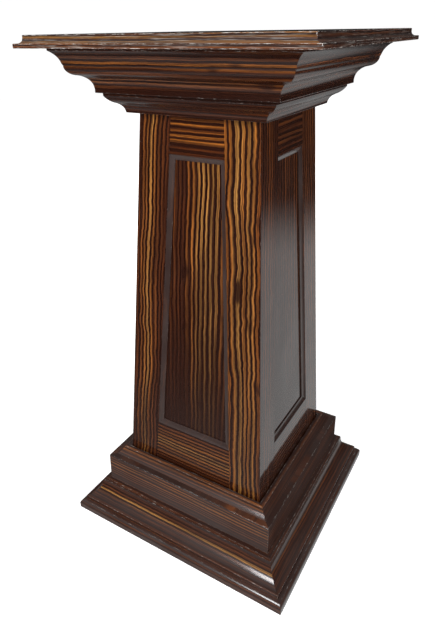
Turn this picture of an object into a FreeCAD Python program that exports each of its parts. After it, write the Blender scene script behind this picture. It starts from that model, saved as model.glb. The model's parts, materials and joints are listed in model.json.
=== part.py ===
"""Tapered display pedestal: a frame-and-panel shaft between a moulded cornice and a moulded base.

Millimetres, +Z up, origin on the floor under the middle of the pedestal.  Every four-sided piece
is drawn once, for the side that faces +X, and turned about Z for the other sides.
"""
import FreeCAD, Part

import math
import os
import re

import Sketcher

SIZES = (
    # name, value, what it is
    ("total_height", 1067, "floor to display surface"),
    ("shaft_base_half", 166.2, "half width of the shaft where it stands on the base plate"),
    ("shaft_neck_half", 124.8, "half width of the shaft under the capital plate"),
    ("foot_thickness", 21, "thickness of the flat foot frame"),
    ("foot_board", 72, "width of a foot frame board"),
    ("foot_overhang", 12, "foot frame beyond the base moulding"),
    ("foot_flat", 9, "height of the foot's upright edge below its round"),
    ("foot_round", 6, "how far the foot's round runs in"),
    ("foot_bulge", 2, "swell of the foot's round"),
    ("block_height", 119, "upright boards above the foot frame"),
    ("block_board", 18, "thickness of the upright boards"),
    ("block_easing", 1.2, "eased arris of the upright boards"),
    ("skirt_height", 53, "base moulding height"),
    ("skirt_projection", 44, "base moulding depth at its foot"),
    ("skirt_fillet", 10, "upright fillet at the base moulding's foot"),
    ("skirt_top_flat", 9.3, "flat top of the base moulding"),
    ("skirt_step", 2.2, "drop of the small step below that flat"),
    ("skirt_step_run", 4, "width of the small step"),
    ("skirt_cove_bulge", 8.6, "hollow of the base cove"),
    ("cap_height", 17.5, "moulding on the block, round the shaft's foot"),
    ("cap_flat", 12, "nearly flat top of that moulding"),
    ("cap_easing", 1.8, "chamfer of its inner arris"),
    ("cap_cove_run", 14, "width of its cove"),
    ("cap_cove_bulge", 1.7, "hollow of its cove"),
    ("cap_ledge", 12.3, "block top left bare outside it"),
    ("crown_height", 80, "cornice moulding under the top board"),
    ("crown_margin", 39.2, "capital plate beyond the shaft's neck"),
    ("crown_foot", 20, "width of the cornice's underside"),
    ("crown_lip", 7.5, "upright fillet at the cornice's foot"),
    ("crown_cove_run", 20, "lower cove, width"),
    ("crown_cove_rise", 24.3, "lower cove, height"),
    ("crown_cove_bulge", 5.4, "lower cove, hollow"),
    ("crown_round_run", 17.5, "middle round, width"),
    ("crown_round_rise", 17.2, "middle round, height"),
    ("crown_round_bulge", 4.6, "middle round, swell"),
    ("crown_step", 1.5, "small step above the round"),
    ("crown_hollow_run", 17, "upper cove, width"),
    ("crown_hollow_rise", 23.5, "upper cove, height"),
    ("crown_hollow_bulge", 3.2, "upper cove, hollow"),
    ("crown_top_width", 27, "width of the cornice's top edge"),
    ("bed_height", 38, "bed moulding under the cornice"),
    ("bed_margin", 49.2, "bed moulding's top edge beyond the shaft's neck"),
    ("bed_lip", 5, "upright fillet at the bed moulding's top"),
    ("bed_round_run", 17, "bed moulding's round, width"),
    ("bed_round_rise", 15, "bed moulding's round, height"),
    ("bed_round_bulge", 2.2, "bed moulding's round, swell"),
    ("bed_cove_run", 12, "bed moulding's cove, width"),
    ("bed_cove_rise", 16, "bed moulding's cove, height"),
    ("bed_cove_bulge", 2.6, "bed moulding's cove, hollow"),
    ("top_thickness", 22, "top board"),
    ("top_overhang", 40, "top board beyond the cornice"),
    ("edge_board", 40, "width of the moulded lipping"),
    ("edge_fillet", 8, "upright lower fillet of the lipping"),
    ("edge_ledge", 4.5, "ledge above that fillet"),
    ("edge_cove_run", 8, "lipping's cove, width"),
    ("edge_cove_rise", 8, "lipping's cove, height"),
    ("edge_cove_bulge", 2.6, "lipping's cove, hollow"),
    ("tongue_thickness", 6, "tongue round the centre of the top board"),
    ("tongue_depth", 8, "how far that tongue reaches into the lippings"),
    ("plate_thickness", 18, "base plate and capital plate"),
    ("frame_thickness", 22, "stiles and rails"),
    ("stile_width", 71, "stile, corner to inner edge"),
    ("top_rail_show", 73, "top rail seen below the bed moulding"),
    ("bottom_rail_show", 91.5, "bottom rail seen above the cap moulding"),
    ("panel_recess", 7.5, "panel face behind the frame's face"),
    ("panel_thickness", 8, "panel, and the groove that holds it"),
    ("groove_depth", 9, "panel groove and rail tenon length"),
    ("strip_width", 10.6, "moulding planted round the panel"),
    ("strip_quirk", 1, "its outer edge behind the frame's face"),
    ("strip_lip", 2.2, "height of its inner edge"),
    ("strip_hollow", 0.9, "hollow of its slope"),
    ("post_size", 32, "corner post inside the shaft"),
    ("brace_thickness", 12, "board across the inside of the shaft"),
    ("brace_height", 420, "that board's underside above the shaft's foot"),
    ("corner_block", 40, "corner glue blocks in the base and in the cornice"),
    ("screw_length", 55, "wood screw"),
    ("screw_diameter", 5, "wood screw shank"),
    ("screw_head", 10, "wood screw head diameter"),
    ("strip_gap", 0.1, "hairline round the planted strips and at their mitres"),
    ("screw_pilot_play", 0.1, "screw hole in a post, over the shank's diameter"),
    ("panel_clearance", 0.5, "play of a panel or tenon in its groove"),
    ("fit_clearance", 0.3, "play where a board drops into a frame"),
    ("screw_clearance", 0.25, "radial play of a screw in the board it clamps"),
)
SHEET = "Sizes"
SIDES = (("right", 0), ("back", 90), ("left", 180), ("front", 270))
MARGIN = "1"

document = FreeCAD.newDocument("Pedestal")
sheet = document.addObject("Spreadsheet::Sheet", SHEET)
for row, (alias, size, note) in enumerate(SIZES, 1):
    sheet.set(f"A{row}", alias)
    sheet.set(f"B{row}", str(size))
    sheet.setAlias(f"B{row}", alias)
    sheet.set(f"C{row}", note)
document.recompute()
ALIASES = re.compile(r"\b(" + "|".join(alias for alias, _, _ in SIZES) + r")\b")
parts = []

# Levels above the floor
BLOCK_TOP = "(foot_thickness + block_height)"
CROWN_BOTTOM = "(total_height - top_thickness - crown_height)"
BED_BOTTOM = f"({CROWN_BOTTOM} - bed_height)"
TOP_BOTTOM = "(total_height - top_thickness)"
SHAFT_LENGTH = f"({CROWN_BOTTOM} - {BLOCK_TOP})"

# Half widths of the square plan
LEAN = "(shaft_base_half - shaft_neck_half)"
CAP_OUTER = "(shaft_base_half + cap_flat + cap_cove_run)"
BLOCK_HALF = f"({CAP_OUTER} + cap_ledge)"
PLATE_HALF = "(shaft_neck_half + crown_margin)"
CROWN_HALF = (f"({PLATE_HALF} + crown_foot + crown_cove_run + crown_round_run + crown_step"
              " + crown_hollow_run)")
TOP_HALF = f"({CROWN_HALF} + top_overhang)"


def bound(expression):
    """The expression with every size name pointing at its cell."""
    return ALIASES.sub(SHEET + r".\1", str(expression))


def number(expression):
    """The value of an expression of size names, in millimetres."""
    return float(sheet.evalExpression(bound(expression)))


def shaft_half(level):
    """Half width of the shaft at a height above its foot."""
    return f"(shaft_base_half - {LEAN} * ({level}) / {SHAFT_LENGTH})"


def origin_feature(body, role):
    """One of the body's own origin planes or axes."""
    return next(feature for feature in body.Origin.OriginFeatures if feature.Role == role)


def new_body(label, turn=0, level="0"):
    """A sub-part's body, turned about Z and lifted to its level."""
    body = document.addObject("PartDesign::Body", label)
    body.Label = label
    body.Placement = FreeCAD.Placement(FreeCAD.Vector(0, 0, number(level)),
                                       FreeCAD.Rotation(FreeCAD.Vector(0, 0, 1), turn))
    body.setExpression("Placement.Base.z", bound(level))
    parts.append(body)
    return body


def constrain(sketch, kind, name, expression, *geometry):
    """Add a dimension to the sketch and tie it to the sheet."""
    index = sketch.addConstraint(Sketcher.Constraint(kind, *geometry, number(expression)))
    sketch.renameConstraint(index, name)
    sketch.setExpression(f"Constraints.{name}", bound(expression))


def add_arc(sketch, start, end, bulge):
    """Arc from start to end, swelling by bulge to the right of the way it runs; says its end points."""
    chord = end - start
    radius = (chord.Length ** 2 / 4 + bulge ** 2) / (2 * abs(bulge))
    right = FreeCAD.Vector(chord.y, -chord.x, 0).normalize()
    centre = (start + end) / 2 - right * math.copysign(radius - abs(bulge), bulge)
    circle = Part.Circle(centre, FreeCAD.Vector(0, 0, 1), radius)
    first, last = (start, end) if bulge > 0 else (end, start)
    low = math.atan2(first.y - centre.y, first.x - centre.x)
    high = math.atan2(last.y - centre.y, last.x - centre.x)
    if high < low:
        high += 2 * math.pi
    sketch.addGeometry(Part.ArcOfCircle(circle, low, high), False)
    return (1, 2) if bulge > 0 else (2, 1)


def draw_loop(sketch, outline, prefix):
    """Draw one closed outline: pairs are corners, a single entry between two corners is a bulge."""
    corners = [entry for entry in outline if isinstance(entry, tuple)]
    bulges = []
    for place, entry in enumerate(outline):
        if isinstance(entry, tuple):
            following = outline[(place + 1) % len(outline)]
            bulges.append(None if isinstance(following, tuple) else following)
    points = [FreeCAD.Vector(number(across), number(up), 0) for across, up in corners]
    first = sketch.GeometryCount
    ends = []
    for place, bulge in enumerate(bulges):
        start = points[place]
        end = points[(place + 1) % len(points)]
        if bulge is None:
            sketch.addGeometry(Part.LineSegment(start, end), False)
            ends.append((1, 2))
        else:
            ends.append(add_arc(sketch, start, end, number(bulge)))
    for place in range(len(corners)):
        following = (place + 1) % len(corners)
        sketch.addConstraint(Sketcher.Constraint("Coincident", first + place, ends[place][1],
                                                 first + following, ends[following][0]))
    for place, (across, up) in enumerate(corners):
        corner = (first + place, ends[place][0])
        constrain(sketch, "DistanceX", f"{prefix}x{place}", across, -1, 1, *corner)
        constrain(sketch, "DistanceY", f"{prefix}y{place}", up, -1, 1, *corner)
        if bulges[place] is not None:
            onward = corners[(place + 1) % len(corners)]
            chord = f"((({onward[0]}) - ({across}))^2 + (({onward[1]}) - ({up}))^2)"
            radius = f"{chord} / (8 * abs({bulges[place]})) + abs({bulges[place]}) / 2"
            constrain(sketch, "Radius", f"{prefix}r{place}", radius, first + place)


def new_sketch(body, name, plane, *outlines):
    """A sketch of closed outlines on one of the body's origin planes."""
    sketch = body.newObject("Sketcher::SketchObject", f"{body.Label}_{name}")
    sketch.AttachmentSupport = [(origin_feature(body, plane), "")]
    sketch.MapMode = "FlatFace"
    for place, outline in enumerate(outlines):
        draw_loop(sketch, outline, "abcdefgh"[place])
    return sketch


def raise_sketch(sketch, level):
    """Lift a sketch off its plane, along the plane's normal."""
    sketch.AttachmentOffset = FreeCAD.Placement(FreeCAD.Vector(0, 0, number(level)), FreeCAD.Rotation())
    sketch.setExpression("AttachmentOffset.Base.z", bound(level))


def pad(body, sketch, length, name="pad", midplane=False):
    """Pad a sketch by a length, upward or to both sides."""
    feature = body.newObject("PartDesign::Pad", f"{body.Label}_{name}")
    feature.Profile = sketch
    feature.Length = number(length)
    feature.setExpression("Length", bound(length))
    feature.Midplane = midplane
    return feature


def leaning_pad(body, sketch, side=1, name="pad"):
    """Pad a level section up the shaft so that it follows the slope of two faces at a corner."""
    feature = pad(body, sketch, SHAFT_LENGTH, name)
    feature.UseCustomVector = True
    feature.AlongSketchNormal = True
    lean = number(LEAN)
    feature.Direction = FreeCAD.Vector(-lean, -side * lean, number(SHAFT_LENGTH))
    feature.setExpression("Direction.x", bound(f"-{LEAN}"))
    feature.setExpression("Direction.y", bound(f"{-side} * {LEAN}"))
    feature.setExpression("Direction.z", bound(SHAFT_LENGTH))
    return feature


def cut_through(body, sketch, name):
    """Pocket a sketch through the whole body, to both sides of its plane."""
    feature = body.newObject("PartDesign::Pocket", f"{body.Label}_{name}")
    feature.Profile = sketch
    feature.Type = "ThroughAll"
    feature.Midplane = True
    return feature


def cut_depth(body, sketch, depth, name, upward=False):
    """Pocket a sketch by a depth, downward from its plane or upward."""
    feature = body.newObject("PartDesign::Pocket", f"{body.Label}_{name}")
    feature.Profile = sketch
    feature.Length = number(depth)
    feature.setExpression("Length", bound(depth))
    feature.Reversed = upward
    return feature


def polar_copies(body, originals, name="pattern"):
    """Four copies of features about the body's upright axis."""
    feature = body.newObject("PartDesign::PolarPattern", f"{body.Label}_{name}")
    feature.Axis = (origin_feature(body, "Z_Axis"), [""])
    feature.Angle = 360
    feature.Occurrences = len(SIDES)
    feature.Originals = originals
    body.Tip = feature
    return feature


def square(half):
    """A square outline about the origin."""
    return [(f"-{half}", f"-{half}"), (half, f"-{half}"), (half, half), (f"-{half}", half)]


def box_at(near, far):
    """A square outline from one diagonal point to another."""
    return [(near, near), (far, near), (far, far), (near, far)]


def mitred_length(label, turn, level, section, inner, outer):
    """A straight length of moulding on the +X side, mitred at both ends to meet its neighbours."""
    body = new_body(label, turn, level)
    pad(body, new_sketch(body, "section", "XZ_Plane", section), f"2 * ({outer} + {MARGIN})",
        midplane=True)
    low = f"({inner} - {MARGIN})"
    high = f"({outer} + {MARGIN})"
    clear = f"({outer} + 2 * {MARGIN})"
    upper = [(low, low), (high, high), (high, clear), (low, clear)]
    lower = [(low, f"-{low}"), (low, f"-{clear}"), (high, f"-{clear}"), (high, f"-{high}")]
    cut_through(body, new_sketch(body, "mitres", "XY_Plane", upper, lower), "mitre_cut")


def four_sides(name, level, section, inner, outer):
    """The same mitred length on all four sides."""
    for side, turn in SIDES:
        mitred_length(f"{name}_{side}", turn, level, section, inner, outer)


# ---- Base -------------------------------------------------------------------------------------

def make_foot_frame():
    """Flat mitred boards on the floor, rounded along their outer top edge."""
    outer = f"({BLOCK_HALF} + skirt_projection + foot_overhang)"
    inner = f"({outer} - foot_board)"
    section = [(inner, "0"), (outer, "0"), (outer, "foot_flat"), "foot_bulge",
               (f"{outer} - foot_round", "foot_thickness"), (inner, "foot_thickness")]
    four_sides("foot", "0", section, inner, outer)


def make_block():
    """Upright mitred boards standing on the foot frame, with an eased top arris."""
    inner = f"({BLOCK_HALF} - block_board)"
    section = [(inner, "0"), (BLOCK_HALF, "0"), (BLOCK_HALF, "block_height - block_easing"),
               (f"{BLOCK_HALF} - block_easing", "block_height"), (inner, "block_height")]
    four_sides("block", "foot_thickness", section, inner, BLOCK_HALF)


def make_skirt():
    """Coved base moulding planted against the block."""
    outer = f"({BLOCK_HALF} + skirt_projection)"
    step = f"{BLOCK_HALF} + skirt_top_flat"
    section = [(BLOCK_HALF, "0"), (outer, "0"), (outer, "skirt_fillet"), "-skirt_cove_bulge",
               (f"{step} + skirt_step_run", "skirt_height - 2 * skirt_step"),
               (f"{step} + skirt_step_run", "skirt_height - skirt_step"),
               (step, "skirt_height - skirt_step"), (step, "skirt_height"),
               (BLOCK_HALF, "skirt_height")]
    four_sides("base_moulding", "foot_thickness", section, BLOCK_HALF, outer)


def make_cap():
    """Moulding on top of the block, closing the joint round the shaft."""
    inner = "(shaft_base_half + fit_clearance)"
    section = [(inner, "0"), (CAP_OUTER, "0"), "-cap_cove_bulge",
               (f"{CAP_OUTER} - cap_cove_run", "cap_height"),
               (f"{inner} + cap_easing", "cap_height - 0.5 * cap_easing"),
               (inner, "cap_height - 1.5 * cap_easing")]
    four_sides("cap_moulding", BLOCK_TOP, section, inner, CAP_OUTER)


def plate_screws(body, plane_level, upward):
    """Countersunk clearance holes over the corner posts, entered from the sketch's side."""
    centre = SCREW_LOW if upward else SCREW_HIGH
    sketch = new_sketch(body, "screw_centres", "XY_Plane")
    raise_sketch(sketch, plane_level)
    for place, (x_sign, y_sign) in enumerate(((1, 1), (-1, 1), (-1, -1), (1, -1))):
        at = FreeCAD.Vector(x_sign * number(centre), y_sign * number(centre), 0)
        sketch.addGeometry(Part.Circle(at, FreeCAD.Vector(0, 0, 1), number("screw_diameter / 2")), False)
        constrain(sketch, "DistanceX", f"x{place}", f"{x_sign} * {centre}", -1, 1, place, 3)
        constrain(sketch, "DistanceY", f"y{place}", f"{y_sign} * {centre}", -1, 1, place, 3)
        constrain(sketch, "Diameter", f"d{place}", "screw_diameter", place)
    document.recompute()
    before = body.Shape.Volume
    hole = body.newObject("PartDesign::Hole", f"{body.Label}_screw_holes")
    hole.Profile = sketch
    hole.Reversed = upward
    hole.DepthType = "ThroughAll"
    hole.HoleCutType = "Countersink"
    hole.HoleCutCountersinkAngle = 90
    hole.setExpression("Diameter", bound("screw_diameter + 2 * screw_clearance"))
    hole.setExpression("HoleCutDiameter", bound("screw_head + 2 * screw_clearance"))
    document.recompute()
    if body.Shape.Volume >= before:
        raise RuntimeError(f"{body.Label}: its screw holes cut nothing")


def make_base_plate():
    """Board inside the block that the shaft stands on."""
    body = new_body("base_plate", level=f"{BLOCK_TOP} - plate_thickness")
    half = f"({BLOCK_HALF} - block_board - fit_clearance)"
    pad(body, new_sketch(body, "outline", "XY_Plane", square(half)), "plate_thickness")
    plate_screws(body, "0", True)


def make_base_blocks():
    """Corner glue blocks between the foot frame and the base plate."""
    body = new_body("base_blocks", level="foot_thickness")
    outer = f"({BLOCK_HALF} - block_board)"
    sketch = new_sketch(body, "outline", "XY_Plane", box_at(f"{outer} - corner_block", outer))
    polar_copies(body, [pad(body, sketch, "block_height - plate_thickness")])


# ---- Shaft ------------------------------------------------------------------------------------

BOTTOM_RAIL = "(cap_height + bottom_rail_show)"
TOP_RAIL = "(bed_height + top_rail_show)"
OPENING_TOP = f"({SHAFT_LENGTH} - {TOP_RAIL})"
POST_OUTER = "(frame_thickness + fit_clearance)"
SCREW_INSET = f"({POST_OUTER} + post_size / 2)"
# Screws stand at the middle of the leaning post, half way along the part of the screw inside it
SCREW_GRIP = "(screw_length - plate_thickness)"
SCREW_LOW = f"({shaft_half(SCREW_GRIP + ' / 2')} - {SCREW_INSET})"
SCREW_HIGH = f"({shaft_half(SHAFT_LENGTH + ' - ' + SCREW_GRIP + ' / 2')} - {SCREW_INSET})"


def make_stile(name, turn, side):
    """Upright frame member: mitred to the next face at the corner, grooved for the panel inside."""
    body = new_body(name, turn, BLOCK_TOP)
    face = "shaft_base_half"
    edge = f"{side} * ({face} - stile_width)"
    groove_end = f"{side} * ({face} - stile_width + groove_depth)"
    section = [(face, f"{side} * {face}"), (face, edge),
               (f"{face} - panel_recess", edge), (f"{face} - panel_recess", groove_end),
               (f"{face} - panel_recess - panel_thickness", groove_end),
               (f"{face} - panel_recess - panel_thickness", edge),
               (f"{face} - frame_thickness", edge),
               (f"{face} - frame_thickness", f"{side} * ({face} - frame_thickness)")]
    leaning_pad(body, new_sketch(body, "section", "XY_Plane", section), side)


def leaning_section(front, back, low, high):
    """Upright section of a board between two depths behind the sloping face."""
    return [(f"{shaft_half(low)} - ({back})", low), (f"{shaft_half(low)} - ({front})", low),
            (f"{shaft_half(high)} - ({front})", high), (f"{shaft_half(high)} - ({back})", high)]


def trim_ends(body, name, reach, low, high):
    """Cut both ends along lines that run parallel to the shaft's corners."""
    limit = f"(shaft_base_half + {MARGIN})"
    low_end = f"({low} - {MARGIN})"
    high_end = f"({high} + {MARGIN})"
    loops = []
    for side in (1, -1):
        loops.append([(f"{side} * ({shaft_half(low_end)} - stile_width + {reach})", low_end),
                      (f"{side} * {limit}", low_end), (f"{side} * {limit}", high_end),
                      (f"{side} * ({shaft_half(high_end)} - stile_width + {reach})", high_end)])
    cut_through(body, new_sketch(body, name, "YZ_Plane", *loops), f"{name}_cut")


def make_rail(name, turn, low, high, groove_at_top):
    """Cross member: grooved for the panel along one edge, with a stub tenon at each end."""
    body = new_body(name, turn, BLOCK_TOP)
    back = "panel_recess + panel_thickness"
    if groove_at_top:
        shelf = f"({high} - groove_depth)"
        tenon = (low, shelf)
        outline = [(f"{shaft_half(low)} - frame_thickness", low), (shaft_half(low), low),
                   (shaft_half(high), high), (f"{shaft_half(high)} - panel_recess", high),
                   (f"{shaft_half(shelf)} - panel_recess", shelf),
                   (f"{shaft_half(shelf)} - ({back})", shelf), (f"{shaft_half(high)} - ({back})", high),
                   (f"{shaft_half(high)} - frame_thickness", high)]
    else:
        shelf = f"({low} + groove_depth)"
        tenon = (shelf, high)
        outline = [(f"{shaft_half(low)} - frame_thickness", low),
                   (f"{shaft_half(low)} - ({back})", low), (f"{shaft_half(shelf)} - ({back})", shelf),
                   (f"{shaft_half(shelf)} - panel_recess", shelf),
                   (f"{shaft_half(low)} - panel_recess", low), (shaft_half(low), low),
                   (shaft_half(high), high), (f"{shaft_half(high)} - frame_thickness", high)]
    pad(body, new_sketch(body, "section", "XZ_Plane", outline), "2 * shaft_base_half", midplane=True)
    trim_ends(body, "shoulders", "0", low, high)
    play = "panel_clearance / 2"
    tongue = leaning_section(f"panel_recess + {play}", f"{back} - {play}", *tenon)
    reach = "groove_depth - panel_clearance"
    pad(body, new_sketch(body, "tenons", "XZ_Plane", tongue), "2 * shaft_base_half",
        name="tenon_pad", midplane=True)
    trim_ends(body, "tenon_ends", reach, low, high)


def make_panel(name, turn):
    """Thin board held in the grooves of the frame, free to move by its clearance."""
    body = new_body(name, turn, BLOCK_TOP)
    low = f"({BOTTOM_RAIL} - groove_depth + panel_clearance)"
    high = f"({OPENING_TOP} + groove_depth - panel_clearance)"
    play = "panel_clearance / 2"
    section = leaning_section(f"panel_recess + {play}", f"panel_recess + panel_thickness - {play}",
                              low, high)
    pad(body, new_sketch(body, "section", "XZ_Plane", section), "2 * shaft_base_half", midplane=True)
    trim_ends(body, "ends", "groove_depth - panel_clearance", low, high)


def mitre_kerf(level, direction, side):
    """Hairline between two strips, along the mitre from the opening's corner inward."""
    inner_level = f"({level} + {direction} * strip_width)"
    outer_edge = f"{side} * ({shaft_half(level)} - stile_width + {MARGIN})"
    inner_edge = f"{side} * ({shaft_half(inner_level)} - stile_width - strip_width - {MARGIN})"
    outer_level = f"({level} - {direction} * {MARGIN})"
    inner_level = f"({inner_level} + {direction} * {MARGIN})"
    half_kerf = "strip_gap / 2"
    return [(f"{outer_edge} - {half_kerf}", outer_level), (f"{outer_edge} + {half_kerf}", outer_level),
            (f"{inner_edge} + {half_kerf}", inner_level), (f"{inner_edge} - {half_kerf}", inner_level)]


def make_panel_moulding(name, turn):
    """Four mitred strips planted round the panel, inside the frame."""
    body = new_body(name, turn, BLOCK_TOP)
    seat = "(panel_recess + panel_clearance / 4)"
    for side in (1, -1):
        outer_edge = f"{side} * (shaft_base_half - stile_width - strip_gap)"
        inner_edge = f"{side} * (shaft_base_half - stile_width - strip_width)"
        section = [(f"shaft_base_half - {seat}", outer_edge),
                   ("shaft_base_half - strip_quirk", outer_edge), f"{side} * strip_hollow",
                   (f"shaft_base_half - {seat} + strip_lip", inner_edge),
                   (f"shaft_base_half - {seat}", inner_edge)]
        upright = "right_upright" if side > 0 else "left_upright"
        leaning_pad(body, new_sketch(body, upright, "XY_Plane", section), side, f"{upright}_pad")
    sill_edge = f"({BOTTOM_RAIL} + strip_gap)"
    head_edge = f"({OPENING_TOP} - strip_gap)"
    wide = f"(shaft_base_half + {MARGIN})"
    below = [(f"-{wide}", f"-{MARGIN}"), (wide, f"-{MARGIN}"), (wide, sill_edge),
             (f"-{wide}", sill_edge)]
    above_top = f"({SHAFT_LENGTH} + {MARGIN})"
    above = [(f"-{wide}", head_edge), (wide, head_edge), (wide, above_top), (f"-{wide}", above_top)]
    cut_through(body, new_sketch(body, "lengths", "YZ_Plane", below, above), "length_cut")
    for strip, edge, start, direction in (("sill", sill_edge, BOTTOM_RAIL, 1),
                                          ("head", head_edge, OPENING_TOP, -1)):
        inner = f"({start} + {direction} * strip_width)"
        section = [(f"{shaft_half(edge)} - {seat}", edge),
                   (f"{shaft_half(edge)} - strip_quirk", edge), f"{-direction} * strip_hollow",
                   (f"{shaft_half(inner)} - {seat} + strip_lip", inner),
                   (f"{shaft_half(inner)} - {seat}", inner)]
        pad(body, new_sketch(body, strip, "XZ_Plane", section), "2 * shaft_base_half",
            name=f"{strip}_pad", midplane=True)
    trim_ends(body, "strip_ends", "(-strip_gap)", BOTTOM_RAIL, OPENING_TOP)
    kerfs = [mitre_kerf(level, direction, side) for side in (1, -1)
             for level, direction in ((BOTTOM_RAIL, 1), (OPENING_TOP, -1))]
    cut_through(body, new_sketch(body, "mitres", "YZ_Plane", *kerfs), "mitre_cut")


def make_shaft():
    """Four framed faces, each with two stiles, two rails, a panel and its moulding."""
    for side, turn in SIDES:
        make_stile(f"stile_{side}_face_right", turn, 1)
        make_stile(f"stile_{side}_face_left", turn, -1)
        make_rail(f"bottom_rail_{side}", turn, "0", BOTTOM_RAIL, True)
        make_rail(f"top_rail_{side}", turn, OPENING_TOP, SHAFT_LENGTH, False)
        make_panel(f"panel_{side}", turn)
        make_panel_moulding(f"panel_moulding_{side}", turn)


def make_corner_posts():
    """Leaning posts glued in the shaft's four inner corners, bored for the plates' screws."""
    body = new_body("corner_posts", level=BLOCK_TOP)
    outer = f"(shaft_base_half - {POST_OUTER})"
    post = leaning_pad(body, new_sketch(body, "section", "XY_Plane", box_at(f"{outer} - post_size", outer)))
    bores = []
    for end, centre, upward in (("foot", SCREW_LOW, True), ("head", SCREW_HIGH, False)):
        sketch = new_sketch(body, f"{end}_bore", "XY_Plane")
        raise_sketch(sketch, "0" if upward else SHAFT_LENGTH)
        at = FreeCAD.Vector(number(centre), number(centre), 0)
        sketch.addGeometry(Part.Circle(at, FreeCAD.Vector(0, 0, 1), number("screw_diameter / 2")), False)
        constrain(sketch, "DistanceX", "across", centre, -1, 1, 0, 3)
        constrain(sketch, "DistanceY", "along", centre, -1, 1, 0, 3)
        constrain(sketch, "Diameter", "bore", "screw_diameter + screw_pilot_play", 0)
        bores.append(cut_depth(body, sketch, f"{SCREW_GRIP} + {MARGIN}", f"{end}_bore_cut", upward))
    polar_copies(body, [post, *bores])


def make_middle_brace():
    """Board across the inside of the shaft, notched round the corner posts."""
    body = new_body("middle_brace", level=f"{BLOCK_TOP} + brace_height")
    half = f"({shaft_half('brace_height + brace_thickness')} - {POST_OUTER})"
    waist = f"({half} - post_size - fit_clearance)"
    corners = []
    for x_sign, y_sign, upright_first in ((1, 1, False), (-1, 1, True), (-1, -1, False), (1, -1, True)):
        side_point = (f"{x_sign} * {half}", f"{y_sign} * {waist}")
        notch = (f"{x_sign} * {waist}", f"{y_sign} * {waist}")
        end_point = (f"{x_sign} * {waist}", f"{y_sign} * {half}")
        trio = [side_point, notch, end_point]
        corners += trio[::-1] if upright_first else trio
    pad(body, new_sketch(body, "outline", "XY_Plane", corners), "brace_thickness")


# ---- Cornice and top --------------------------------------------------------------------------

def make_bed_moulding():
    """Ogee moulding round the shaft's neck, under the cornice."""
    outer = "(shaft_neck_half + bed_margin)"
    lip = "bed_height - bed_lip"
    shoulder = f"{outer} - bed_round_run"
    foot = f"{shoulder} - bed_cove_run"
    inner_low = f"({shaft_half(SHAFT_LENGTH + ' - bed_height')} + fit_clearance)"
    inner_high = "(shaft_neck_half + fit_clearance)"
    section = [(inner_low, "0"), (foot, "0"), (foot, f"{lip} - bed_round_rise - bed_cove_rise"),
               "-bed_cove_bulge", (shoulder, f"{lip} - bed_round_rise"), "bed_round_bulge",
               (outer, lip), (outer, "bed_height"), (inner_high, "bed_height")]
    four_sides("bed_moulding", BED_BOTTOM, section, inner_high, outer)


def make_capital_plate():
    """Board on top of the shaft that the cornice is built round."""
    body = new_body("capital_plate", level=CROWN_BOTTOM)
    half = f"({PLATE_HALF} - fit_clearance)"
    pad(body, new_sketch(body, "outline", "XY_Plane", square(half)), "plate_thickness")
    plate_screws(body, "plate_thickness", False)


def make_cornice():
    """Crown moulding: fillet, cove, round and upper cove, hollow behind."""
    steps = (("crown_foot", "0"), ("0", "crown_lip"), ("crown_cove_run", "crown_cove_rise"),
             ("crown_round_run", "crown_round_rise"), ("crown_step", "2 * crown_step"),
             ("crown_hollow_run", "crown_hollow_rise"))
    bulges = {2: "-crown_cove_bulge", 3: "crown_round_bulge", 5: "-crown_hollow_bulge"}
    section = [(PLATE_HALF, "0")]
    across, up = PLATE_HALF, "0"
    for place, (run, rise) in enumerate(steps):
        if place in bulges:
            section.append(bulges[place])
        across, up = f"{across} + {run}", f"{up} + {rise}"
        section.append((across, up))
    section += [(CROWN_HALF, "crown_height"), (f"{CROWN_HALF} - crown_top_width", "crown_height"),
                (PLATE_HALF, "plate_thickness")]
    four_sides("cornice", CROWN_BOTTOM, section, PLATE_HALF, CROWN_HALF)


def make_cornice_blocks():
    """Corner blocks between the capital plate and the top board."""
    body = new_body("cornice_blocks", level=f"{CROWN_BOTTOM} + plate_thickness")
    outer = f"({PLATE_HALF} - fit_clearance)"
    sketch = new_sketch(body, "outline", "XY_Plane", box_at(f"{outer} - corner_block", outer))
    polar_copies(body, [pad(body, sketch, "crown_height - plate_thickness")])


def make_top_board():
    """Centre of the top board, with a tongue round its four edges."""
    body = new_body("top_board", level=TOP_BOTTOM)
    half = f"({TOP_HALF} - edge_board)"
    pad(body, new_sketch(body, "outline", "XY_Plane", square(half)), "top_thickness")
    reach = f"({half} + tongue_depth - fit_clearance)"
    tongue = new_sketch(body, "tongue", "XY_Plane", square(reach))
    raise_sketch(tongue, "(top_thickness - tongue_thickness + panel_clearance / 2) / 2")
    pad(body, tongue, "tongue_thickness - panel_clearance / 2", name="tongue_pad")


def make_top_edges():
    """Mitred lippings of the top board: fillet, ledge, cove and upper fillet, grooved inside."""
    inner = f"({TOP_HALF} - edge_board)"
    groove_low = "(top_thickness - tongue_thickness) / 2"
    groove_high = "(top_thickness + tongue_thickness) / 2"
    setback = f"{TOP_HALF} - edge_ledge - edge_cove_run"
    section = [(inner, "0"), (TOP_HALF, "0"), (TOP_HALF, "edge_fillet"),
               (f"{TOP_HALF} - edge_ledge", "edge_fillet"), "-edge_cove_bulge",
               (setback, "edge_fillet + edge_cove_rise"), (setback, "top_thickness"),
               (inner, "top_thickness"), (inner, groove_high),
               (f"{inner} + tongue_depth", groove_high), (f"{inner} + tongue_depth", groove_low),
               (inner, groove_low)]
    four_sides("top_edge", TOP_BOTTOM, section, inner, TOP_HALF)


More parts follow.
